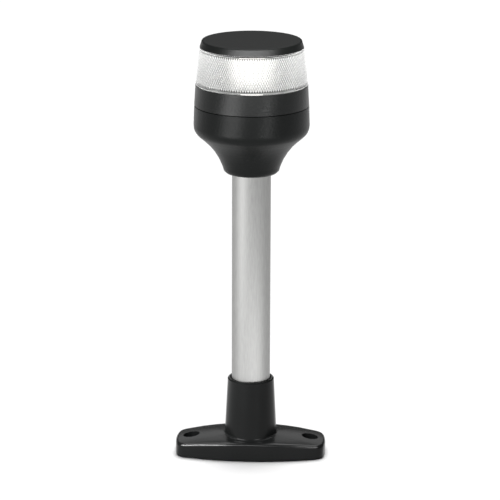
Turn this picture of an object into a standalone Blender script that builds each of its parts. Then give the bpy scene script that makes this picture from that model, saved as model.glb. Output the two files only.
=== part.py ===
"""All-round navigation light on a short fixed pole, built from separate pieces.

Sizes are in millimetres until a mesh is made. The origin is on the mounting face under the pole,
+Z is up and the long side of the base lies along X.
"""

import math

import bmesh
import bpy
from mathutils import Matrix

MM = 0.001

# Fits, walls and the number of flat sides on round pieces
gap = 0.3
wall = 2.2
fine = 40
coarse = 20
small = 10

# Mounting base
base_length = 75.0
base_depth = 33.2
base_edge_height = 9.2
base_end_drop = 3.4
base_crown = 1.2
base_side_arc = 122.0
base_end_arc = 45.0
base_corner = 5.5
base_top_round = 1.5
base_bottom_chamfer = 0.5
screw_spacing = 59.5
slot_width = 4.8
slot_stretch = 0.6
sink_width = 1.5
sink_depth = 3.0
socket_height = 39.2
socket_rim_radius = 11.5
socket_foot_radius = 12.9
socket_foot_round = 1.0
wire_hole_radius = 6.0
pole_seat_height = 4.0
pocket_roof = 4.6
pocket_start = 15.0
pocket_end = 24.0
pocket_wall = 2.9
rib_width = 2.0

# Pole
pole_diameter = 19.05
pole_wall = 1.2
pole_exposed = 104.8
pole_insertion = 10.0

# Lower housing, read as a neck, a flare, a shoulder and a side
neck_radius = 14.0
neck_round = 3.0
neck_angle = 20.0
neck_length = 4.0
flare_radius = 30.0
flare_angle = 50.0
floor_angle = 35.0
shoulder_radius = 6.5
housing_radius = 28.25
housing_taper = 0.35
housing_side = 9.7
lip_width = 1.9

# Bayonet between the lower housing and the lens head
flange_thickness = 0.9
flange_setback = 1.5
seam = 0.4
skirt_depth = 4.7
spigot_wall = 1.6
bayonet_grip = 1.1
seal_land_height = 2.6
seal_cord_radius = 0.65
lug_height = 1.5
tab_height = 1.6
lug_count = 3
lug_angle = 40.0
tab_angle = 50.0
stop_angle = 4.0

# Lens head
collar_height = 9.9
collar_taper = 0.6
collar_wall = 1.9
collar_ledge = 0.7
lens_seat_depth = 1.8
gasket_thickness = 0.8
gasket_width = 1.0
lens_height = 17.8
lens_taper = 2.15
lens_wall = 2.1
prism_depth = 0.5
prism_columns = 60
prism_rows = 7
cap_height = 3.66
cap_taper = 0.8
cap_round = 0.8
cap_dome = 0.3
cap_spigot_height = 1.3
cap_spigot_wall = 1.3

# Cable seals
grommet_wall = 1.2
gland_depth = 4.0
gland_flange = 1.5
cable_radius = 2.6

# Electronics and optics
board_thickness = 1.6
board_margin = 1.4
board_hole_radius = 4.0
part_circle = 12.0
inductor_radius = 4.7
inductor_height = 4.9
capacitor_radius = 3.9
capacitor_height = 9.0
chip_size = (5.0, 4.0, 1.6)
diode_size = (4.4, 2.6, 2.2)
terminal_size = (10.0, 8.0, 8.0)
terminal_port = 3.0
post_circle = 15.0
post_radius = 2.8
post_height = 5.9
stud_length = 6.0
spacer_height = 10.8
spacer_flats = 5.0
spacer_bore = 6.5
heat_flange = 2.5
heat_margin = 0.6
column_radius = 11.8
column_height = 8.5
fin_count = 2
fin_groove = 1.2
led_board_radius = 11.5
emitter_radius = 2.2
optic_height = 15.0
optic_foot_radius = 5.2
optic_top_radius = 6.8
reflector_thickness = 0.9

# Screws
screw_radius = 1.5
screw_head_radius = 3.0
screw_head_height = 1.8
board_screw_head_radius = 2.6
board_screw_length = 5.0
pole_screw_height = 24.0

# Radii and heights that follow from the sizes above
pole_radius = pole_diameter / 2
pole_bore = pole_radius - pole_wall
lip_radius = pole_radius + gap - lip_width
housing_rim_radius = housing_radius - housing_taper
flange_radius = housing_rim_radius - flange_setback
collar_top_radius = housing_rim_radius - collar_taper
bayonet_radius = collar_top_radius - collar_wall - gap
spigot_radius = bayonet_radius - bayonet_grip
lens_top_radius = collar_top_radius - lens_taper
heat_radius = spigot_radius - spigot_wall - heat_margin
housing_bottom = socket_height + pole_exposed
pole_top = housing_bottom + pole_insertion


def direction(angle):
    """Unit vector (r, z) that leans outward from straight up by an angle in degrees."""
    return math.sin(math.radians(angle)), math.cos(math.radians(angle))


def arc(centre, radius, start, end, steps):
    """Points (r, z) on an arc, with angles in degrees measured from +r towards +z."""
    angles = [math.radians(start + (end - start) * k / steps) for k in range(steps + 1)]
    return [(centre[0] + radius * math.cos(a), centre[1] + radius * math.sin(a)) for a in angles]


def bowl_curve(inset, start_angle, steps):
    """Flare and shoulder of the lower housing, from its neck upwards, moved inward by an inset."""
    lean, rise = direction(neck_angle)
    straight = neck_length - neck_round
    flare_r = neck_radius + straight * math.tan(math.radians(neck_angle)) + flare_radius * rise
    flare_z = housing_bottom + neck_length - flare_radius * lean
    flare = arc((flare_r, flare_z), flare_radius + inset, 180 - start_angle, 180 - flare_angle, steps)
    lean, rise = direction(flare_angle)
    slope_r = housing_radius - shoulder_radius * (1 - rise)
    slope_z = flare_z + flare_radius * lean + (slope_r - flare_r + flare_radius * rise) * rise / lean
    centre = (housing_radius - shoulder_radius, slope_z + shoulder_radius * lean)
    return flare + arc(centre, shoulder_radius - inset, -flare_angle, 0, steps)


shoulder_top = bowl_curve(0, neck_angle, 1)[-1][1]
housing_top = shoulder_top + housing_side
floor_height = bowl_curve(wall, floor_angle, 1)[0][1]
board_radius = bowl_curve(wall, floor_angle, 1)[1][0] - board_margin
flange_top = housing_top + gap + flange_thickness
land_top = flange_top + seal_land_height
lug_bottom = land_top + gap
tab_bottom = lug_bottom + lug_height + gap
tab_top = tab_bottom + tab_height
collar_bottom = housing_top + seam
collar_top = collar_bottom + collar_height
ledge_top = collar_top - lens_seat_depth
lens_bottom = collar_top + gap
lens_top = lens_bottom + lens_height
cap_bottom = lens_top + gap
cap_top = cap_bottom + cap_height
board_bottom = floor_height + post_height + gap
board_top = board_bottom + board_thickness
heat_bottom = board_top + spacer_height + 2 * gap
column_top = heat_bottom + heat_flange + column_height
led_board_bottom = column_top + gap
led_board_top = led_board_bottom + board_thickness


def clear_scene():
    """Start from an empty scene."""
    for item in list(bpy.data.objects):
        bpy.data.objects.remove(item, do_unlink=True)


def finish(name, colour, metallic, roughness, transmission=0.0):
    """Plain shader for one piece."""
    material = bpy.data.materials.new(name)
    material.use_nodes = True
    shader = material.node_tree.nodes["Principled BSDF"]
    shader.inputs["Base Color"].default_value = (*colour, 1.0)
    shader.inputs["Metallic"].default_value = metallic
    shader.inputs["Roughness"].default_value = roughness
    shader.inputs["Transmission Weight"].default_value = transmission
    return material


def black_plastic(name):
    return finish(name, (0.02, 0.022, 0.022), 0.0, 0.45)


def rubber(name):
    return finish(name, (0.015, 0.015, 0.015), 0.0, 0.8)


def aluminium(name):
    return finish(name, (0.62, 0.63, 0.64), 1.0, 0.35)


def steel(name):
    return finish(name, (0.55, 0.55, 0.56), 1.0, 0.25)


def clear_plastic(name):
    return finish(name, (0.95, 0.96, 0.96), 0.0, 0.05, 0.95)


def white_plastic(name):
    return finish(name, (0.85, 0.86, 0.86), 0.0, 0.4)


def circuit_green(name):
    return finish(name, (0.02, 0.16, 0.07), 0.0, 0.45)


def loft(loops, ring):
    """Faces between loops of equal length; a ring joins the last loop to the first, else both are capped."""
    count = len(loops[0])
    points = [point for loop in loops for point in loop]
    pairs = [(k, k + 1) for k in range(len(loops) - 1)]
    faces = []
    if ring:
        pairs.append((len(loops) - 1, 0))
    else:
        last = (len(loops) - 1) * count
        faces.append(list(range(count))[::-1])
        faces.append([last + k for k in range(count)])
    for low, high in pairs:
        for k in range(count):
            n = (k + 1) % count
            faces.append([low * count + k, low * count + n, high * count + n, high * count + k])
    return points, faces


def circle(radius, height, segments):
    """Points around the Z axis at one height."""
    angles = [2 * math.pi * k / segments for k in range(segments)]
    return [(radius * math.cos(a), radius * math.sin(a), height) for a in angles]


def lathe(profile, ring=True, segments=fine):
    """Solid turned about the Z axis from points (r, z)."""
    return loft([circle(r, z, segments) for r, z in profile], ring)


def prism(outline, bottom, top):
    """Flat outline of points (x, y) raised between two heights."""
    return loft([[(x, y, z) for x, y in outline] for z in (bottom, top)], False)


def block(size, centre, bottom):
    """Box with its middle at (x, y), standing on a height."""
    half_x = size[0] / 2
    half_y = size[1] / 2
    corners = [(-half_x, -half_y), (half_x, -half_y), (half_x, half_y), (-half_x, half_y)]
    outline = [(centre[0] + x, centre[1] + y) for x, y in corners]
    return prism(outline, bottom, bottom + size[2])


def sector(inner, outer, bottom, top, middle, width, steps):
    """Part of a ring, with its middle and its width as angles in degrees."""
    angles = [math.radians(middle - width / 2 + width * k / steps) for k in range(steps + 1)]
    outside = [(outer * math.cos(a), outer * math.sin(a)) for a in angles]
    inside = [(inner * math.cos(a), inner * math.sin(a)) for a in reversed(angles)]
    return prism(outside + inside, bottom, top)


def moved(shape, matrix):
    """Copy of a shape carried by a matrix."""
    points, faces = shape
    return [tuple(matrix @ Matrix.Translation(p).translation) for p in points], faces


def around(shape, count, radius=0.0, start=0.0):
    """Copies of a shape spread evenly about the Z axis, each pushed out to a radius."""
    copies = []
    for k in range(count):
        turn = Matrix.Rotation(math.radians(start) + 2 * math.pi * k / count, 4, "Z")
        copies.append(moved(shape, turn @ Matrix.Translation((radius, 0, 0))))
    return copies


def mesh_object(name, shape):
    """Object with outward faces, in metres."""
    points, faces = shape
    mesh = bpy.data.meshes.new(name)
    mesh.from_pydata([[c * MM for c in p] for p in points], [], faces)
    bm = bmesh.new()
    bm.from_mesh(mesh)
    bmesh.ops.recalc_face_normals(bm, faces=bm.faces)
    bm.to_mesh(mesh)
    bm.free()
    thing = bpy.data.objects.new(name, mesh)
    bpy.context.scene.collection.objects.link(thing)
    return thing


def piece(name, shape, material, joined=(), removed=()):
    """One named piece, with shapes joined to it and then shapes removed from it."""
    thing = mesh_object(name, shape)
    thing.data.materials.append(material(name))
    for operation, shapes in (("UNION", joined), ("DIFFERENCE", removed)):
        for k, extra in enumerate(shapes):
            tool = mesh_object(f"{name}_{operation.lower()}_{k}", extra)
            tool.hide_render = True
            tool.display_type = "WIRE"
            change = thing.modifiers.new(tool.name, "BOOLEAN")
            change.operation = operation
            change.solver = "EXACT"
            change.object = tool
    return thing


def pieces(name, shapes, material):
    """Alike pieces, numbered from 1."""
    for k, shape in enumerate(shapes):
        piece(f"{name}_{k + 1}", shape, material)


def circles_meet(low, low_radius, right, right_radius):
    """Meeting point, in the first quadrant, of a circle centred on Y and one centred on X."""
    apart = math.hypot(low, right)
    along = (apart ** 2 + low_radius ** 2 - right_radius ** 2) / (2 * apart)
    across = math.sqrt(low_radius ** 2 - along ** 2)
    ux = right / apart
    uy = -low / apart
    return along * ux + across * uy, low + along * uy - across * ux


def even_turns(low, radius, start, end, steps):
    """Angles on a circle centred on Y whose points lie at even turns about the origin."""
    angles = []
    for k in range(steps + 1):
        turn = start + (end - start) * k / steps
        reach = low * math.sin(turn) + math.sqrt(radius ** 2 - (low * math.cos(turn)) ** 2)
        angles.append(math.atan2(reach * math.sin(turn) - low, reach * math.cos(turn)))
    return angles


def base_outline(inset):
    """Plan of the base moved inward by an inset: side arcs, end arcs and rounded corners."""
    low = base_depth / 2 - base_side_arc
    right = base_length / 2 - base_end_arc
    side = base_side_arc - base_corner
    end = base_end_arc - base_corner
    cx, cy = circles_meet(low, side, right, end)
    side_angle = math.degrees(math.atan2(cy - low, cx))
    end_angle = math.degrees(math.atan2(cy, cx - right))
    quarter = arc((right, 0), base_end_arc - inset, 0, end_angle, 2)[:-1]
    quarter += arc((cx, cy), base_corner - inset, end_angle, side_angle, 3)[:-1]
    side_x, side_y = arc((0, low), base_side_arc, side_angle, 90, 1)[0]
    reach = base_side_arc - inset
    for angle in even_turns(low, base_side_arc, math.atan2(side_y, side_x), math.pi / 2, 7):
        quarter.append((reach * math.cos(angle), low + reach * math.sin(angle)))
    left = [(-x, y) for x, y in reversed(quarter[:-1])]
    upper = quarter + left
    return upper + [(x, -y) for x, y in reversed(upper[1:-1])]


def base_top(x, y):
    """Height of the arched and crowned top of the base."""
    lengthways = base_end_drop * (2 * x / base_length) ** 2
    crossways = base_crown * (1 - min(1.0, (2 * y / base_depth) ** 2))
    return base_edge_height - lengthways + crossways


def base_loops():
    """Loops over the base, from its lower edge up over the plate and the socket and down the bore."""
    edge = base_outline(0)
    turns = [math.atan2(y, x) for x, y in edge]
    loops = [[(x, y, 0) for x, y in base_outline(base_bottom_chamfer)]]
    loops.append([(x, y, base_bottom_chamfer) for x, y in edge])
    for angle in (0, 30, 60, 90):
        lean, rise = direction(angle)
        inset = base_outline(base_top_round * (1 - rise))
        drop = base_top_round * (1 - lean)
        loops.append([(x, y, base_top(x, y) - drop) for x, y in inset])
    foot = socket_foot_radius + socket_foot_round
    for share in (0.45, 0.8):
        loop = []
        for (x, y), turn in zip(base_outline(base_top_round), turns):
            px = x + share * (foot * math.cos(turn) - x)
            py = y + share * (foot * math.sin(turn) - y)
            loop.append((px, py, base_top(px, py)))
        loops.append(loop)
    for angle in (0, 45, 90):
        lean, rise = direction(angle)
        radius = foot - socket_foot_round * lean
        around_foot = [(radius * math.cos(turn), radius * math.sin(turn)) for turn in turns]
        loops.append([(x, y, base_top(x, y) + socket_foot_round * (1 - rise)) for x, y in around_foot])
    bore = pole_radius + gap
    chamfer = (socket_rim_radius - bore) / 3
    turned_part = [
        (socket_rim_radius, socket_height - chamfer),
        (socket_rim_radius - chamfer, socket_height),
        (bore + chamfer, socket_height),
        (bore, socket_height - chamfer),
        (bore, pole_seat_height),
        (wire_hole_radius, pole_seat_height),
        (wire_hole_radius, 0),
    ]
    for r, z in turned_part:
        loops.append([(r * math.cos(turn), r * math.sin(turn), z) for turn in turns])
    return loops


def stadium(width, stretch, x_middle, height):
    """Oblong loop, longer along X by the stretch."""
    right = arc((x_middle + stretch / 2, 0), width / 2, -90, 90, 6)
    left = arc((x_middle - stretch / 2, 0), width / 2, 90, 270, 6)
    return [(x, y, height) for x, y in right + left]


def screw_slot(x_middle):
    """Oblong hole through the base, wider at the top for the head of the screw."""
    top = base_top(x_middle, 0)
    wide = slot_width + 2 * sink_width
    return loft([
        stadium(slot_width, slot_stretch, x_middle, -gap),
        stadium(slot_width, slot_stretch, x_middle, top - sink_depth),
        stadium(wide, slot_stretch, x_middle, top - sink_depth),
        stadium(wide, slot_stretch, x_middle, top + slot_width),
    ], False)


def underside_pockets():
    """Four hollows under the base, beside the socket, with a rib left between each pair."""
    pockets = []
    for x_side in (-1, 1):
        for y_side in (-1, 1):
            corners = []
            for x in (pocket_start, pocket_end):
                sag = base_side_arc - math.sqrt(base_side_arc ** 2 - x ** 2)
                corners.append((x, base_depth / 2 - sag - pocket_wall))
            outline = [(pocket_start, rib_width / 2), (pocket_end, rib_width / 2), corners[1], corners[0]]
            pockets.append(prism([(x_side * x, y_side * y) for x, y in outline], -gap, pocket_roof))
    return pockets


def rear_hole(radius, start, end, height):
    """Round bar along +Y at one height, used for the screw holes behind the pole."""
    bar = lathe([(radius, start), (radius, end)], False, small)
    upright = Matrix.Translation((0, 0, height)) @ Matrix.Rotation(-math.pi / 2, 4, "X")
    return moved(bar, upright)


def rear_screw(seat, height):
    """Pan-head screw pointing at the pole from behind, its head outside the seat radius."""
    tip = pole_bore - gap
    profile = [
        (screw_radius * 0.6, tip),
        (screw_radius, tip + screw_radius * 0.5),
        (screw_radius, seat),
        (screw_head_radius, seat),
        (screw_head_radius, seat + screw_head_height * 0.6),
        (screw_head_radius * 0.6, seat + screw_head_height),
    ]
    upright = Matrix.Translation((0, 0, height)) @ Matrix.Rotation(-math.pi / 2, 4, "X")
    return moved(lathe(profile, False, small), upright)


def down_screw(length, head_radius):
    """Pan-head screw standing on its seat at height 0, its shank below."""
    return lathe([
        (screw_radius * 0.6, -length),
        (screw_radius, -length + screw_radius * 0.5),
        (screw_radius, 0),
        (head_radius, 0),
        (head_radius, head_radius * 0.35),
        (head_radius * 0.6, head_radius * 0.6),
    ], False, small)


neck_screw_height = housing_bottom + neck_length
socket_seat = socket_foot_radius + gap
neck_seat = neck_radius - screw_head_height / 2
far = housing_radius * 2


def make_base():
    hole = rear_hole(screw_radius + gap, 0, far, pole_screw_height)
    spot_floor = socket_seat - gap - screw_head_height / 2
    spot = rear_hole(screw_head_radius + gap, spot_floor, far, pole_screw_height)
    slots = [screw_slot(side * screw_spacing / 2) for side in (-1, 1)]
    removed = slots + underside_pockets() + [hole, spot]
    piece("mount_base", loft(base_loops(), True), black_plastic, removed=removed)


def make_pole():
    bottom = pole_seat_height + gap
    profile = [(pole_radius, bottom), (pole_radius, pole_top), (pole_bore, pole_top), (pole_bore, bottom)]
    heights = (pole_screw_height, neck_screw_height)
    holes = [rear_hole(screw_radius + gap, 0, far, z) for z in heights]
    piece("pole_tube", lathe(profile), aluminium, removed=holes)
    seats = (socket_seat - screw_head_height / 2, neck_seat)
    pieces("pole_screw", [rear_screw(seat, z) for seat, z in zip(seats, heights)], steel)


def make_wire_grommet():
    """Rubber ring that lines the wire hole in the floor of the base."""
    outer = wire_hole_radius - gap
    inner = outer - grommet_wall
    flange = pole_bore - gap
    seat = pole_seat_height + gap
    profile = [(outer, gap), (outer, seat), (flange, seat), (flange, seat + grommet_wall)]
    profile += [(inner, seat + grommet_wall), (inner, gap)]
    piece("wire_grommet", lathe(profile, segments=coarse), rubber)


def make_lower_housing():
    bore = pole_radius + gap
    neck_edge = arc((neck_radius - neck_round, housing_bottom + neck_round), neck_round, -90, 0, 3)
    inner = bowl_curve(wall, floor_angle, 2)
    profile = neck_edge + bowl_curve(0, neck_angle, 4)
    profile.append((housing_rim_radius, housing_top))
    profile.append((inner[-1][0], housing_top))
    profile += inner[::-1]
    profile += [(lip_radius, floor_height), (lip_radius, pole_top + gap), (bore, pole_top + gap)]
    profile.append((bore, housing_bottom))
    post = [(post_radius, floor_height - wall / 3), (post_radius, floor_height + post_height)]
    posts = around(lathe(post, False, small), 3, post_circle, 90)
    stud_end = board_top - stud_length
    stud = lathe([(screw_radius + gap, stud_end), (screw_radius + gap, board_bottom)], False, small)
    holes = around(stud, 3, post_circle, 90)
    holes.append(rear_hole(screw_radius + gap, 0, far, neck_screw_height))
    holes.append(rear_hole(screw_head_radius + gap, neck_seat - gap, far, neck_screw_height))
    piece("lower_housing", lathe(profile), black_plastic, posts, holes)


def make_cable_gland():
    """Rubber plug in the top of the pole, with a hole for the supply cable."""
    barrel = lip_radius - gap
    flange = barrel + gland_flange
    low = pole_top - gland_depth
    seat = floor_height + gap
    top = seat + gland_flange
    profile = [(barrel, low), (barrel, seat), (flange, seat), (flange, top)]
    profile += [(cable_radius, top), (cable_radius, low)]
    piece("cable_gland", lathe(profile, segments=coarse), rubber)


def on_board(shape, angle, distance=part_circle):
    """Shape put on top of the driver board at an angle and a distance from its middle."""
    turn = Matrix.Rotation(math.radians(angle), 4, "Z")
    return moved(shape, turn @ Matrix.Translation((distance, 0, board_top + gap)))


def make_driver():
    low = board_bottom - gap
    high = board_top + gap
    hole = lathe([(board_hole_radius, low), (board_hole_radius, high)], False, coarse)
    stud = lathe([(screw_radius + gap, low), (screw_radius + gap, high)], False, small)
    disc = lathe([(board_radius, board_bottom), (board_radius, board_top)], False)
    piece("driver_board", disc, circuit_green, removed=[hole] + around(stud, 3, post_circle, 90))
    edge = inductor_radius * 0.85
    chamfer = inductor_radius - edge
    coil = [(edge, 0), (inductor_radius, chamfer)]
    coil += [(inductor_radius, inductor_height - chamfer), (edge, inductor_height)]
    piece("drive_inductor", on_board(lathe(coil, False, coarse), 150), rubber)
    crimp = capacitor_radius * 0.92
    can = [(capacitor_radius, 0), (capacitor_radius, capacitor_height * 0.1)]
    can += [(crimp, capacitor_height * 0.15), (capacitor_radius, capacitor_height * 0.2)]
    can += [(capacitor_radius, capacitor_height * 0.95), (crimp, capacitor_height)]
    piece("smoothing_capacitor", on_board(lathe(can, False, coarse), 30), aluminium)
    piece("control_chip", on_board(block(chip_size, (0, 0), 0), 90, part_circle * 0.65), rubber)
    piece("polarity_diode", on_board(block(diode_size, (0, 0), 0), -17, part_circle * 0.7), rubber)
    middle = terminal_size[1] / 4
    port = (terminal_size[0] * 2, terminal_port, terminal_port)
    ports = [on_board(block(port, (0, y), terminal_port / 2), -90) for y in (-middle * 1.25, middle * 1.25)]
    body = block((terminal_size[1], terminal_size[0], terminal_size[2]), (0, 0), 0)
    piece("terminal_block", on_board(body, -90), circuit_green, removed=ports)


def make_spacers():
    """Hexagonal pillars between the driver board and the heat sink, their studs down in the posts."""
    bottom = board_top + gap
    corner = spacer_flats / math.sqrt(3)
    top = bottom + spacer_height
    bore = screw_radius + gap
    profile = [(screw_radius, bottom - stud_length), (screw_radius, bottom), (corner, bottom), (corner, top)]
    profile += [(bore, top), (bore, top - spacer_bore), (bore / 2, top - spacer_bore)]
    pieces("board_spacer", around(lathe(profile, False, 6), 3, post_circle, 90), steel)


def make_heat_sink():
    flange_top_here = heat_bottom + heat_flange
    profile = [(heat_radius, heat_bottom), (heat_radius, flange_top_here), (column_radius, flange_top_here)]
    pitch = column_height / (fin_count + 1)
    for k in range(fin_count):
        low = flange_top_here + pitch * (k + 1) - fin_groove / 2
        deep = column_radius - 2 * fin_groove
        high = low + fin_groove
        profile += [(column_radius, low), (deep, low), (deep, high), (column_radius, high)]
    profile.append((column_radius, column_top))
    bore = screw_radius + gap
    hole = lathe([(bore, heat_bottom - gap), (bore, flange_top_here + gap)], False, small)
    piece("heat_sink", lathe(profile, False, coarse), aluminium, removed=around(hole, 3, post_circle, 90))
    screw = down_screw(board_screw_length, board_screw_head_radius)
    screw = moved(screw, Matrix.Translation((0, 0, flange_top_here + gap)))
    pieces("heat_sink_screw", around(screw, 3, post_circle, 90), steel)


def make_light_source():
    disc = lathe([(led_board_radius, led_board_bottom), (led_board_radius, led_board_top)], False, coarse)
    piece("led_board", disc, white_plastic)
    seat = led_board_top + gap
    step = emitter_radius * 0.35
    dome = arc((0, seat + step), emitter_radius * 0.75, 0, 75, 4)
    emitter = [(emitter_radius, seat), (emitter_radius, seat + step)] + dome
    piece("led_emitter", lathe(emitter, False, small), white_plastic)
    top = seat + optic_height
    neck = seat + optic_height * 0.3
    outside = [(optic_foot_radius, seat), (optic_foot_radius, neck)]
    for share in (0.35, 0.7, 1.0):
        radius = optic_foot_radius + (optic_top_radius - optic_foot_radius) * share ** 2
        outside.append((radius, neck + (top - neck) * share))
    dimple = [(optic_top_radius * 0.5, top - optic_height * 0.3)]
    dimple.append((optic_top_radius * 0.05, neck + optic_height * 0.13))
    hollow = emitter_radius * 1.55
    hollow_top = seat + emitter_radius * 1.2
    cavity = [(hollow * 0.3, hollow_top + hollow * 0.25), (hollow, hollow_top), (hollow, seat)]
    piece("light_optic", lathe(cavity + outside + dimple, False, coarse), clear_plastic)


def make_lower_reflector():
    """Shallow white dish around the light source, lying on the bayonet ring."""
    inner = led_board_radius + gap
    bend = inner + reflector_thickness
    seat = tab_top + gap
    top = led_board_top - board_thickness / 3
    low = top - reflector_thickness
    profile = [(spigot_radius, seat), (spigot_radius, seat + reflector_thickness), (bend, top), (inner, top)]
    profile += [(inner, low), (bend, low), (spigot_radius - spigot_wall, seat)]
    piece("lower_reflector", lathe(profile, segments=coarse), white_plastic)


def make_bayonet_ring():
    mouth = bowl_curve(wall, floor_angle, 1)[-1][0] - gap
    inner = spigot_radius - spigot_wall
    seat = housing_top + gap
    groove_low = flange_top + (seal_land_height - 2 * seal_cord_radius - gap) / 2
    groove_high = groove_low + 2 * seal_cord_radius + gap
    groove = bayonet_radius - 2 * seal_cord_radius - gap
    profile = [(mouth, seat - skirt_depth), (mouth, seat), (flange_radius, seat), (flange_radius, flange_top)]
    profile += [(bayonet_radius - gap, flange_top), (bayonet_radius - gap, groove_low), (groove, groove_low)]
    profile += [(groove, groove_high), (bayonet_radius - gap, groove_high), (bayonet_radius - gap, land_top)]
    profile += [(spigot_radius, land_top), (spigot_radius, tab_top), (inner, tab_top)]
    profile.append((inner, seat - skirt_depth))
    root = spigot_radius - spigot_wall / 2
    additions = []
    for k in range(lug_count):
        middle = 360 * k / lug_count
        additions.append(sector(root, bayonet_radius, tab_bottom, tab_top, middle, tab_angle, 5))
        stop = middle - lug_angle / 2 - stop_angle
        low = land_top - gap
        additions.append(sector(root, bayonet_radius, low, tab_bottom + gap, stop, stop_angle, 2))
    piece("bayonet_ring", lathe(profile), black_plastic, joined=additions)
    seal_height = (groove_low + groove_high) / 2
    seal_radius = groove + gap / 2 + seal_cord_radius
    cord = arc((seal_radius, seal_height), seal_cord_radius, 0, 360, 5)[:-1]
    piece("housing_seal", lathe(cord), rubber)


def make_collar():
    inner = bayonet_radius + gap
    lip = collar_top_radius - collar_wall + gap
    ledge = inner - gasket_width
    profile = [(housing_rim_radius, collar_bottom), (collar_top_radius, collar_top), (lip, collar_top)]
    profile += [(lip, ledge_top), (ledge, ledge_top), (ledge, ledge_top - collar_ledge)]
    profile += [(inner, ledge_top - collar_ledge), (inner, flange_top + gap)]
    profile += [(flange_radius + gap, flange_top + gap), (flange_radius + gap, collar_bottom)]
    lugs = []
    for k in range(lug_count):
        middle = 360 * k / lug_count
        low = lug_bottom
        lugs.append(sector(spigot_radius + gap, inner + gap, low, low + lug_height, middle, lug_angle, 4))
    piece("lens_collar", lathe(profile), black_plastic, joined=lugs)
    low = ledge_top + gap / 2
    ring = [(lip - gap / 2, low), (lip - gap / 2, low + gasket_thickness)]
    ring += [(ledge + gap, low + gasket_thickness), (ledge + gap, low)]
    piece("lens_gasket", lathe(ring), rubber)


def make_lens():
    """Tapered clear band whose inside carries rows of prisms, peak beside valley."""
    lip = collar_top_radius - collar_wall
    skirt = ledge_top + gasket_thickness + gap
    foot = collar_top_radius - gap / 2
    lean = (lens_top_radius - foot) / lens_height
    plain = cap_spigot_height + 2 * gap
    rows_low = lens_bottom + plain / 2
    rows_high = lens_top - plain
    inner_foot = lip - gasket_width + gap
    loops = []
    outside = [(inner_foot, skirt), (lip, skirt), (lip, lens_bottom), (foot, lens_bottom)]
    outside += [(lens_top_radius, lens_top), (lens_top_radius - lens_wall, lens_top)]
    for r, z in outside:
        loops.append(circle(r, z, prism_columns))
    for row in range(prism_rows + 1):
        z = rows_high + (rows_low - rows_high) * row / prism_rows
        valley = foot + lean * (z - lens_bottom) - lens_wall
        ring = circle(1.0, z, prism_columns)
        for k in range(prism_columns):
            edge_row = row in (0, prism_rows)
            radius = valley - (0 if edge_row or (k + row) % 2 else prism_depth)
            ring[k] = (ring[k][0] * radius, ring[k][1] * radius, z)
        loops.append(ring)
    piece("lens", loft(loops, True), clear_plastic)


def make_cap():
    spigot = lens_top_radius - lens_wall - prism_depth - gap
    inside = spigot - cap_spigot_wall
    roof = cap_bottom + gap
    groove_low = lens_top_radius - lens_wall + gap
    groove_high = groove_low + gasket_width
    groove_roof = cap_bottom + gasket_thickness + gap / 2
    crown = cap_top - cap_dome
    edge_radius = lens_top_radius - cap_taper
    edge = arc((edge_radius - cap_round, crown - cap_round), cap_round, 0, 90, 4)
    hollow = inside - 2 * cap_spigot_wall
    spigot_low = cap_bottom - cap_spigot_height
    profile = [(hollow, roof + cap_spigot_height), (hollow, roof), (inside, roof), (inside, spigot_low)]
    profile += [(spigot, spigot_low), (spigot, cap_bottom), (groove_low, cap_bottom)]
    profile += [(groove_low, groove_roof), (groove_high, groove_roof), (groove_high, cap_bottom)]
    profile += [(lens_top_radius, cap_bottom)] + edge + [(lens_top_radius * 0.4, cap_top)]
    piece("top_cap", lathe(profile, False), black_plastic)
    seal = [(groove_high - gap / 2, cap_bottom), (groove_high - gap / 2, cap_bottom + gasket_thickness)]
    seal += [(groove_low + gap / 2, cap_bottom + gasket_thickness), (groove_low + gap / 2, cap_bottom)]
    piece("cap_gasket", lathe(seal), rubber)
    disc = [(inside - gap, roof - gap - reflector_thickness), (inside - gap, roof - gap)]
    piece("upper_reflector", lathe(disc, False, coarse), white_plastic)


clear_scene()
make_base()
make_pole()
make_wire_grommet()
make_lower_housing()
make_cable_gland()
make_driver()
make_spacers()
make_heat_sink()
make_light_source()
make_bayonet_ring()
make_lower_reflector()
make_collar()
make_lens()
make_cap()
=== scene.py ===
"""Looks of the navigation light: camera, studio light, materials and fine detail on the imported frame.

Lengths are in metres in the frame of the part: +Z up, the camera on the -Y side.
"""

import math

import bmesh
import bpy
from mathutils import Matrix, Vector


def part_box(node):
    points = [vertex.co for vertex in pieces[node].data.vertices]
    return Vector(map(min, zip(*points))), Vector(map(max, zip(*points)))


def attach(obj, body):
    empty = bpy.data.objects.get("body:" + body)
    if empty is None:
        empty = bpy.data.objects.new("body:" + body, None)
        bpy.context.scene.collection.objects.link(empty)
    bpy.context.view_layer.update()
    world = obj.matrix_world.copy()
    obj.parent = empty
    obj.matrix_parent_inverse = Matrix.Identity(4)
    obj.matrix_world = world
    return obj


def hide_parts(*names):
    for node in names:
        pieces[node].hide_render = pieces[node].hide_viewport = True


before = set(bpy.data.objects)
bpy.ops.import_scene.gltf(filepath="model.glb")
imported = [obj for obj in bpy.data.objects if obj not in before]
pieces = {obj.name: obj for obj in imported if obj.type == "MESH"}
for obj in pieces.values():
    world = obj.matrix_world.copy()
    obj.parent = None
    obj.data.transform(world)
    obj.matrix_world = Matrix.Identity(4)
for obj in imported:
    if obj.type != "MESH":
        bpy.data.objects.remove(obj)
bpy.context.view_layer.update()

MM = 0.001
grain_depth = 0.1 * MM
plastic_ior = 1.49


# Small helpers


def node_box(name):
    """Radius, bottom and top of a round CAD node."""
    low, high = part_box(name)
    return high.x, low.z, high.z


def radius_at(name, height, reach=0.1 * MM):
    """Largest radius of a round CAD node near one height."""
    points = [v.co for v in pieces[name].data.vertices]
    return max(p.xy.length for p in points if abs(p.z - height) < reach)


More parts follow.
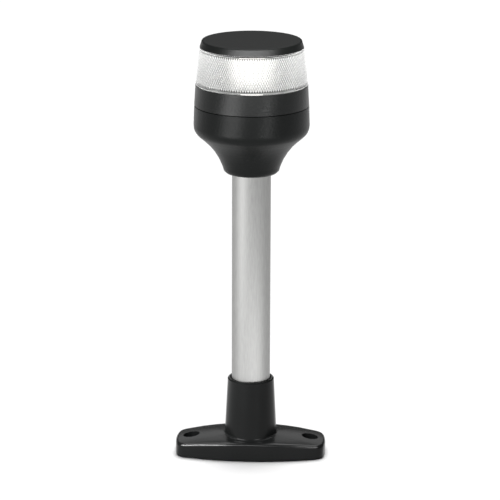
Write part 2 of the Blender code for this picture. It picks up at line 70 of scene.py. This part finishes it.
def add_object(name, data):
    """New object in the scene."""
    thing = bpy.data.objects.new(name, data)
    bpy.context.scene.collection.objects.link(thing)
    return thing


def shade(colour, share):
    """Colour made darker or lighter by a share."""
    return tuple(c * share for c in colour)


# Building blocks of the materials


def new_material(name):
    """Empty Principled material; returns it with its nodes, links and shader."""
    material = bpy.data.materials.new(name)
    material.use_nodes = True
    tree = material.node_tree
    return material, tree.nodes, tree.links, tree.nodes["Principled BSDF"]


def noise(nodes, links, scale, detail=3.0, stretch=(1, 1, 1)):
    """Noise texture in object space; returns its factor socket."""
    place = nodes.new("ShaderNodeTexCoord")
    mapping = nodes.new("ShaderNodeMapping")
    mapping.inputs["Scale"].default_value = stretch
    texture = nodes.new("ShaderNodeTexNoise")
    texture.inputs["Scale"].default_value = scale
    texture.inputs["Detail"].default_value = detail
    links.new(place.outputs["Object"], mapping.inputs["Vector"])
    links.new(mapping.outputs["Vector"], texture.inputs["Vector"])
    return texture.outputs["Fac"]


def ramp(nodes, links, factor, low, high):
    """Value that runs from low to high with the factor."""
    spread = nodes.new("ShaderNodeMapRange")
    spread.inputs["To Min"].default_value = low
    spread.inputs["To Max"].default_value = high
    links.new(factor, spread.inputs["Value"])
    return spread.outputs["Result"]


def blend_colours(nodes, links, factor, first, second):
    """Colour between two colours."""
    mix = nodes.new("ShaderNodeMix")
    mix.data_type = "RGBA"
    mix.inputs["A"].default_value = (*first, 1)
    mix.inputs["B"].default_value = (*second, 1)
    links.new(factor, mix.inputs["Factor"])
    return mix.outputs["Result"]


def uneven(nodes, links, shader, factor, first, second, low, high):
    """Colour and roughness that change together with a factor."""
    links.new(blend_colours(nodes, links, factor, first, second), shader.inputs["Base Color"])
    links.new(ramp(nodes, links, factor, low, high), shader.inputs["Roughness"])


def grain(nodes, links, shader, factor, strength):
    """Fine bump from a factor."""
    bump = nodes.new("ShaderNodeBump")
    bump.inputs["Strength"].default_value = strength
    bump.inputs["Distance"].default_value = grain_depth
    links.new(factor, bump.inputs["Height"])
    links.new(bump.outputs["Normal"], shader.inputs["Normal"])


# Materials


def moulded_black(name, colour, roughness, texture, shine, lighter=1.35, swing=0.05):
    """Black moulded plastic with a fine grain and a broad, faint unevenness."""
    material, nodes, links, shader = new_material(name)
    fine = noise(nodes, links, scale=1000)
    broad = noise(nodes, links, scale=60)
    uneven(nodes, links, shader, broad, colour, shade(colour, lighter), roughness - swing, roughness + swing)
    shader.inputs["Specular IOR Level"].default_value = shine
    grain(nodes, links, shader, fine, texture)
    return material


def textured_top(material, roughness, tilted=0.8, level=0.95):
    """Rougher finish on faces that look up, reached between two values of the normal's Z."""
    nodes = material.node_tree.nodes
    links = material.node_tree.links
    shader = nodes["Principled BSDF"]
    sides = shader.inputs["Roughness"].links[0].from_socket
    place = nodes.new("ShaderNodeTexCoord")
    parts = nodes.new("ShaderNodeSeparateXYZ")
    facing = nodes.new("ShaderNodeMapRange")
    facing.inputs["From Min"].default_value = tilted
    facing.inputs["From Max"].default_value = level
    choice = nodes.new("ShaderNodeMix")
    choice.inputs["B"].default_value = roughness
    links.new(place.outputs["Normal"], parts.inputs["Vector"])
    links.new(parts.outputs["Z"], facing.inputs["Value"])
    links.new(facing.outputs["Result"], choice.inputs["Factor"])
    links.new(sides, choice.inputs["A"])
    links.new(choice.outputs["Result"], shader.inputs["Roughness"])


def metal(name, colour, roughness, stretch, line=0.9, swing=0.06):
    """Bare metal with drawn or turned lines, which are darker by a share."""
    material, nodes, links, shader = new_material(name)
    lines = noise(nodes, links, scale=400, detail=4, stretch=stretch)
    uneven(nodes, links, shader, lines, shade(colour, line), colour, roughness - swing, roughness + swing)
    shader.inputs["Metallic"].default_value = 1.0
    grain(nodes, links, shader, lines, strength=0.05)
    return material


def plain(name, colour, roughness, darker=0.88, swing=0.06):
    """Opaque material with a slight unevenness."""
    material, nodes, links, shader = new_material(name)
    spots = noise(nodes, links, scale=300)
    uneven(nodes, links, shader, spots, shade(colour, darker), colour, roughness - swing, roughness + swing)
    return material


def clear(name, tint, roughness, rougher=1.5):
    """Clear moulded plastic."""
    material, nodes, links, shader = new_material(name)
    spots = noise(nodes, links, scale=200)
    uneven(nodes, links, shader, spots, tint, (1, 1, 1), roughness, roughness * rougher)
    shader.inputs["Transmission Weight"].default_value = 1.0
    shader.inputs["IOR"].default_value = plastic_ior
    return material


def prisms(name, line, face, roughness, painted_glow, line_width=0.3):
    """Inside of the lens with painted light: bright prism faces that emit light though the lens is no lamp,
    and darker lines of painted shade that fade up the prisms where they meet.
    """
    material, nodes, links, shader = new_material(name)
    peak = nodes.new("ShaderNodeAttribute")
    peak.attribute_name = "peak"
    spread = nodes.new("ShaderNodeMapRange")
    spread.inputs["From Max"].default_value = line_width
    links.new(peak.outputs["Fac"], spread.inputs["Value"])
    # Painted light and shade: dark line colour where the prisms meet, bright emitting faces between them
    painted_lattice = blend_colours(nodes, links, spread.outputs["Result"], line, face)
    links.new(painted_lattice, shader.inputs["Base Color"])
    links.new(painted_lattice, shader.inputs["Emission Color"])
    shader.inputs["Emission Strength"].default_value = painted_glow
    shader.inputs["Roughness"].default_value = roughness
    shader.inputs["Transmission Weight"].default_value = 0.85
    shader.inputs["IOR"].default_value = plastic_ior
    return material


def glowing(name, colour, strength, darker=0.96):
    """Light of the LED emitter, also painted on the light optic, which is no lamp."""
    material, nodes, links, shader = new_material(name)
    spots = noise(nodes, links, scale=200)
    light = blend_colours(nodes, links, spots, shade(colour, darker), colour)
    links.new(light, shader.inputs["Base Color"])
    links.new(light, shader.inputs["Emission Color"])
    shader.inputs["Emission Strength"].default_value = strength
    return material


def matt_white(name, first, second, roughness):
    """Matt white without gloss, with faint broad clouds."""
    material, nodes, links, shader = new_material(name)
    clouds = noise(nodes, links, scale=2)
    links.new(blend_colours(nodes, links, clouds, first, second), shader.inputs["Base Color"])
    shader.inputs["Roughness"].default_value = roughness
    shader.inputs["Specular IOR Level"].default_value = 0.0
    return material


soft_black = (0.002, 0.0024, 0.0023)
housing_black = moulded_black("housing_black", soft_black, roughness=0.36, texture=0.8, shine=0.25)
cup_black = moulded_black("cup_black", soft_black, roughness=0.36, texture=0.8, shine=0.13)
cap_black = moulded_black("cap_black", (0.002, 0.0023, 0.0022), roughness=0.42, texture=0.6, shine=0.15)
textured_top(cap_black, roughness=0.75)
base_black = moulded_black("base_black", (0.0016, 0.0017, 0.0017), roughness=0.22, texture=0.06, shine=0.13)
tube_metal = metal("tube_metal", (0.474, 0.474, 0.467), roughness=0.6, stretch=(4, 4, 0.5), line=0.65)
steel = metal("steel", (0.6, 0.6, 0.61), roughness=0.28, stretch=(1, 1, 1))
turned_metal = metal("turned_metal", (0.6, 0.61, 0.62), roughness=0.35, stretch=(0.1, 0.1, 1))
rubber = plain("rubber", (0.012, 0.012, 0.012), roughness=0.75)
white = plain("white", (0.86, 0.87, 0.87), roughness=0.4)
board_green = plain("board_green", (0.02, 0.14, 0.06), roughness=0.45)
component_black = plain("component_black", (0.015, 0.015, 0.016), roughness=0.5)
clear_lens = clear("clear_lens", (0.98, 0.99, 0.99), roughness=0.02)
# Painted light inside the lens: emitting prism faces, with dark painted-shade lines between them
lens_prisms_painted_light = prisms("lens_prisms_painted_light", (0.08, 0.08, 0.078), (0.95, 0.95, 0.94), roughness=0.45, painted_glow=0.34)
# Emitted light: the LED emitter's own, and painted light on the light optic
led_light_and_painted_glow = glowing("led_light_and_painted_glow", (1.0, 0.98, 0.95), strength=1.65)
floor_white = matt_white("floor_white", (0.93, 0.93, 0.93), (0.95, 0.95, 0.95), roughness=0.9)


# Finish and smooth shading of the CAD pieces


def smooth_shading(angle, join=0.005 * MM):
    """Node group that joins split faces and shades them smooth across edges flatter than an angle."""
    group = bpy.data.node_groups.new("smooth_shading", "GeometryNodeTree")
    group.interface.new_socket("Geometry", in_out="INPUT", socket_type="NodeSocketGeometry")
    group.interface.new_socket("Geometry", in_out="OUTPUT", socket_type="NodeSocketGeometry")
    nodes = group.nodes
    links = group.links
    merge = nodes.new("GeometryNodeMergeByDistance")
    merge.inputs["Distance"].default_value = join
    forget = nodes.new("GeometryNodeRemoveAttribute")
    forget.inputs["Name"].default_value = "custom_normal"
    faces = nodes.new("GeometryNodeSetShadeSmooth")
    edges = nodes.new("GeometryNodeSetShadeSmooth")
    edges.domain = "EDGE"
    edges.inputs["Shade Smooth"].default_value = False
    bend = nodes.new("GeometryNodeInputMeshEdgeAngle")
    sharp = nodes.new("FunctionNodeCompare")
    sharp.operation = "GREATER_THAN"
    sharp.inputs["B"].default_value = math.radians(angle)
    links.new(bend.outputs["Unsigned Angle"], sharp.inputs["A"])
    links.new(sharp.outputs["Result"], edges.inputs["Selection"])
    chain = [nodes.new("NodeGroupInput"), merge, forget, faces, edges, nodes.new("NodeGroupOutput")]
    for first, second in zip(chain, chain[1:]):
        links.new(first.outputs["Geometry"], second.inputs["Geometry"])
    return group


# Pieces that aren't named here are steel
finishes = {
    "mount_base": base_black,
    "pole_tube": tube_metal,
    "wire_grommet": rubber,
    "lower_housing": cup_black,
    "bayonet_ring": housing_black,
    "lens_collar": housing_black,
    "top_cap": cap_black,
    "cable_gland": rubber,
    "housing_seal": rubber,
    "lens_gasket": rubber,
    "cap_gasket": rubber,
    "driver_board": board_green,
    "terminal_block": board_green,
    "drive_inductor": component_black,
    "control_chip": component_black,
    "polarity_diode": component_black,
    "smoothing_capacitor": turned_metal,
    "heat_sink": turned_metal,
    "led_board": white,
    "led_emitter": led_light_and_painted_glow,
    # The light optic is no lamp: its emitted light is painted
    "light_optic": led_light_and_painted_glow,
    "lower_reflector": white,
    "upper_reflector": white,
    "lens": clear_lens,
}
shading = smooth_shading(angle=32)
for name, piece in pieces.items():
    piece.data.materials.clear()
    piece.data.materials.append(finishes.get(name, steel))
    piece.modifiers.new("smooth_shading", "NODES").node_group = shading
    piece.modifiers.new("even_normals", "WEIGHTED_NORMAL").keep_sharp = True


# Lens with fine diamond prisms inside

prism_columns = 130
prism_rows = 14
prism_depth = 0.22 * MM
prism_slot = 1
lens_wall = 2.1 * MM
tongue_wall = 0.7 * MM
collar_gap = 0.3 * MM
# Plain bands below and above the prisms
foot_band = 0.5 * MM
crown_band = 1.0 * MM


def lens_ring(radius, height, shift=0.0):
    """Points around the pole's axis, turned by a share of one column."""
    angles = [2 * math.pi * (k + shift) / prism_columns for k in range(prism_columns)]
    return [Vector((radius * math.cos(a), radius * math.sin(a), height)) for a in angles]


def turned_wall(bm, outline):
    """Faces between rings of points along an outline; returns the rings."""
    rings = [[bm.verts.new(p) for p in lens_ring(radius, height)] for radius, height in outline]
    for first, second in zip(rings, rings[1:]):
        for k in range(prism_columns):
            bm.faces.new((first[k], first[k - 1], second[k - 1], second[k]))
    return rings


def prism_corners(bm, first, last, heights, inner):
    """Rows of corners between two rings, every other row turned by half a column."""
    corners = [first]
    for row in range(1, prism_rows):
        ring = lens_ring(inner(heights[row]), heights[row], 0.5 * (row % 2))
        corners.append([bm.verts.new(p) for p in ring])
    corners.append(last)
    return corners


def prism_field(bm, corners, heights, inner, peak_layer):
    """Diamond pyramids between the corners, with flat half diamonds along both edges that take the dark line
    colour as painted shade.
    """
    for row, height in enumerate(heights):
        odd = row % 2
        peaks = lens_ring(inner(height) - prism_depth, height, 0.5 * odd + 0.5)
        for k in range(prism_columns):
            following = (k + 1) % prism_columns
            beside = following if odd else k
            left = corners[row][k]
            right = corners[row][following]
            # Half diamonds have no peak, so they take the dark line colour: painted shade along both edges
            # of the band
            if row == 0:
                triangles = [(left, right, corners[row + 1][beside])]
            elif row == prism_rows:
                triangles = [(right, left, corners[row - 1][beside])]
            else:
                peak = bm.verts.new(peaks[k])
                peak[peak_layer] = 1.0
                around = [left, corners[row - 1][beside], right, corners[row + 1][beside]]
                triangles = [(around[i], around[(i + 1) % 4], peak) for i in range(4)]
            for triangle in triangles:
                bm.faces.new(triangle).material_index = prism_slot


def prism_lens():
    """Clear band between the collar and the cap, its inside tiled with diamond pyramids."""
    foot, skirt, top = node_box("lens")
    bottom = node_box("lens_collar")[2] + collar_gap
    crown = radius_at("lens", top)
    tongue = radius_at("lens", skirt)

    def inner(height):
        return foot + (crown - foot) * (height - bottom) / (top - bottom) - lens_wall

    low = bottom + foot_band
    high = top - crown_band
    skirt_line = [(inner(low), low), (tongue - tongue_wall, skirt), (tongue, skirt), (tongue, bottom)]
    band_line = [(foot, bottom), (crown, top), (inner(top), top), (inner(high), high)]
    heights = [low + (high - low) * row / prism_rows for row in range(prism_rows + 1)]
    bm = bmesh.new()
    peak_layer = bm.verts.layers.float.new("peak")
    rings = turned_wall(bm, skirt_line + band_line)
    corners = prism_corners(bm, rings[0], rings[-1], heights, inner)
    prism_field(bm, corners, heights, inner, peak_layer)
    bmesh.ops.recalc_face_normals(bm, faces=bm.faces)
    mesh = bpy.data.meshes.new("prism_lens")
    bm.to_mesh(mesh)
    bm.free()
    mesh.materials.append(clear_lens)
    mesh.materials.append(lens_prisms_painted_light)
    lens = add_object("prism_lens", mesh)
    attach(lens, "lens_head")
    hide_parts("lens")
    return lens


clear_band = prism_lens()


# Camera

camera_distance = 1.2
camera_height = 0.442
camera_turn = math.radians(2.4)
camera_pitch = math.radians(15.7)
camera_roll = math.radians(0.18)
camera_shift = -0.0006
focal_length = 182.5
sensor_width = 36


def photo_camera():
    """Camera in front of the part, above it and looking down."""
    data = bpy.data.cameras.new("camera")
    data.lens = focal_length
    data.sensor_width = sensor_width
    data.clip_start = 0.05
    data.clip_end = 50
    camera = add_object("camera", data)
    turn = Matrix.Rotation(camera_turn, 4, "Z")
    tilt = Matrix.Rotation(math.pi / 2 - camera_pitch, 4, "X")
    roll = Matrix.Rotation(camera_roll, 4, "Z")
    place = Matrix.Translation((camera_shift, -camera_distance, camera_height))
    camera.matrix_world = turn @ place @ tilt @ roll
    return camera


bpy.context.scene.camera = photo_camera()


# Floor


def pale_floor(width):
    """Plain white floor under the part."""
    bpy.ops.mesh.primitive_plane_add(size=width, location=(0, 0, 0))
    floor = bpy.context.object
    floor.name = "floor"
    floor.data.materials.append(floor_white)
    return floor


floor = pale_floor(width=12)


# Lights, each tied to the pieces that it lights


def light_group(name, things, state="INCLUDE"):
    """Collection that ties lights to some things or, with EXCLUDE, keeps lights off them."""
    group = bpy.data.collections.new(name)
    for thing in things:
        group.objects.link(thing)
    for tie in group.collection_objects:
        tie.light_linking.link_state = state
    return group


def piece_group(name, *names):
    """Group of CAD pieces that its lights reach alone."""
    return light_group(name, [pieces[piece] for piece in names])


def softbox(place, aim, size, power, receivers):
    """Soft rectangular light that looks at a height on the pole's axis and lights only its receivers."""
    light = bpy.data.lights.new("softbox", "AREA")
    light.shape = "RECTANGLE"
    light.size, light.size_y = size
    light.energy = power
    lamp = add_object("softbox", light)
    lamp.location = place
    lamp.rotation_mode = "QUATERNION"
    lamp.rotation_quaternion = (Vector((0, 0, aim)) - Vector(place)).to_track_quat("-Z", "Y")
    lamp.visible_camera = False
    lamp.light_linking.receiver_collection = receivers


def overhead_light(lean, spread, strength, receivers, blockers=None):
    """Broad even light from above, leaning back so that shadows fall forward."""
    light = bpy.data.lights.new("overhead", "SUN")
    light.angle = math.radians(spread)
    light.energy = strength
    lamp = add_object("overhead", light)
    lamp.rotation_euler = (math.radians(-lean), 0, 0)
    lamp.light_linking.receiver_collection = receivers
    lamp.light_linking.blocker_collection = blockers


def even_world(strength):
    """Faint white light from all sides."""
    world = bpy.data.worlds.new("world")
    world.use_nodes = True
    background = world.node_tree.nodes["Background"]
    background.inputs["Color"].default_value = (1, 1, 1, 1)
    background.inputs["Strength"].default_value = strength
    return world


all_but_floor = light_group("all_but_floor", [floor], "EXCLUDE")
mouldings = light_group("mouldings", [floor, pieces["pole_tube"], clear_band], "EXCLUDE")
ground = light_group("ground", [floor])
base = piece_group("base", "mount_base")
pole = piece_group("pole", "pole_tube")
cup = piece_group("cup", "lower_housing", "lens_collar")
upright = piece_group("upright", "pole_tube", "lower_housing", "lens_collar")
cap = piece_group("cap", "top_cap")

# Overhead light on the object, and on the floor with the soft shadow of the base alone
overhead_light(lean=20, spread=52, strength=3.6, receivers=all_but_floor)
overhead_light(lean=15, spread=46, strength=3.4, receivers=ground, blockers=base)

# Low softboxes on both sides and behind, which draw the upright highlights
softbox((-0.27, -0.36, 0.1), aim=0.13, size=(0.28, 0.17), power=1.2, receivers=mouldings)
softbox((0.3, -0.47, 0.055), aim=0.18, size=(0.17, 0.1), power=0.6, receivers=mouldings)
softbox((-0.37, -0.28, 0.08), aim=0.09, size=(0.36, 0.15), power=1.2, receivers=pole)
softbox((0.05, -0.12, 0.012), aim=0.06, size=(0.26, 0.02), power=0.15, receivers=pole)
softbox((0, 0.6, 0.1), aim=0.12, size=(0.2, 0.25), power=1.2, receivers=upright)

# High lights in front and behind, which draw the edges and tops of the black mouldings
softbox((-0.46, -0.59, 0.62), aim=0.05, size=(0.46, 0.2), power=36, receivers=base)
softbox((-0.66, -0.33, 0.45), aim=0.01, size=(0.3, 0.3), power=19, receivers=base)
softbox((0.55, -0.51, 0.62), aim=0.05, size=(0.26, 0.2), power=9, receivers=base)
softbox((0, -0.75, 0.62), aim=0.05, size=(0.3, 0.15), power=3, receivers=base)
softbox((0, 0.62, 0.29), aim=0, size=(0.6, 0.2), power=0.37, receivers=base)
softbox((0, -0.75, 0.5), aim=0.2, size=(0.5, 0.15), power=11, receivers=cup)
softbox((0.02, -0.75, 0.44), aim=0.2, size=(1.6, 0.15), power=44, receivers=cap)

bpy.context.scene.world = even_world(strength=0.08)
bpy.context.scene.view_settings.view_transform = "Standard"
